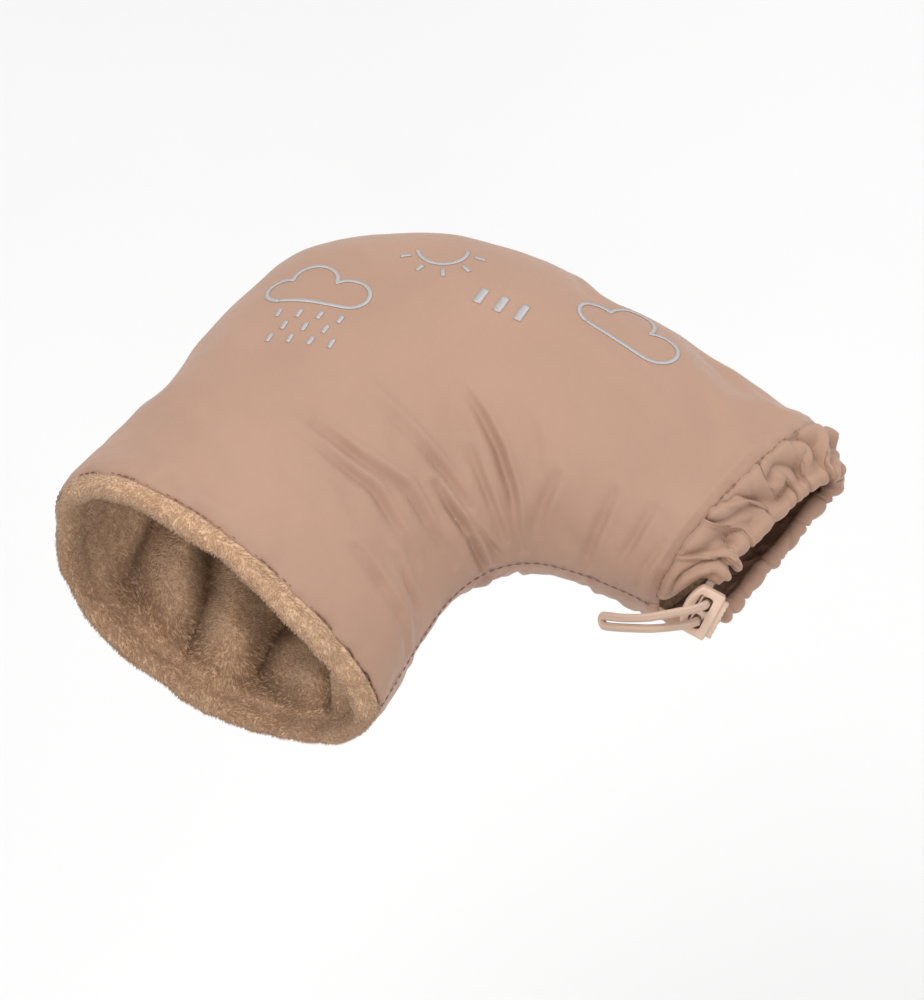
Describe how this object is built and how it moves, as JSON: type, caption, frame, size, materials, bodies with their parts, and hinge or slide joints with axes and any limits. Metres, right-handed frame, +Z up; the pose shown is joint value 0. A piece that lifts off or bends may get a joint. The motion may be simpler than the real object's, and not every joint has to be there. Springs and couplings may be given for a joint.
{
  "type": "padded hand warmer muff",
  "caption": "Plush-lined elbow muff that a hand enters from behind and a handlebar enters through a gathered drawcord cuff.",
  "frame": {"origin": "on the handlebar's axis, at the mouth of the gathered cuff", "axes": "+X along the handlebar out of the cuff, towards the stem; -Y towards the rider, out of the hand opening; +Z up; the side seams lie in the XY plane"},
  "size_m": [0.2174, 0.2076, 0.1054],
  "materials": {
    "shell_fabric": "matt, finely woven, water-repellent",
    "plush": "brushed short pile",
    "wadding": "soft fibre fill",
    "elastic_cord": "braided",
    "lock_plastic": "moulded, satin",
    "spring_steel": "drawn wire",
    "sewing_thread": "twisted polyester",
    "reflective_print": "retroreflective transfer"
  },
  "bodies": {
    "muff": {"top_shell": "shell_fabric", "bottom_shell": "shell_fabric", "top_padding": "wadding", "bottom_padding": "wadding", "top_lining": "plush", "bottom_lining": "plush", "cuff_top": "shell_fabric", "cuff_bottom": "shell_fabric", "drawcord": "elastic_cord", "cord_anchor_stitch": "sewing_thread", "drawcord_loop": "elastic_cord", "outer_seam_thread": "sewing_thread", "inner_seam_thread": "sewing_thread", "hand_edge_thread": "sewing_thread", "cuff_seam_thread": "sewing_thread", "casing_thread": "sewing_thread", "rain_cloud_print": "reflective_print", "raindrops_print": "reflective_print", "sun_print": "reflective_print", "plain_cloud_print": "reflective_print", "mark_print": "reflective_print"},
    "cord_lock": {"cord_lock_body": "lock_plastic", "cord_lock_spring": "spring_steel"},
    "plunger": {"cord_lock_plunger": "lock_plastic"}
  },
  "joints": [
    {"name": "lock_travel", "type": "hinge", "parent": "muff", "child": "cord_lock", "pos_m": [-0.00451, -0.02886, 0.01067], "axis": [0.5912, -0.4677, -0.6571], "range_deg": [0, 55]},
    {"name": "plunger_press", "type": "slide", "parent": "cord_lock", "child": "plunger", "axis": [-0.9186, -0.2985, 0.2588], "range_m": [0, 0.0016], "stiffness_N_per_m": 800, "springref_m": -0.002, "deforming": ["cord_lock_spring"]}
  ]
}
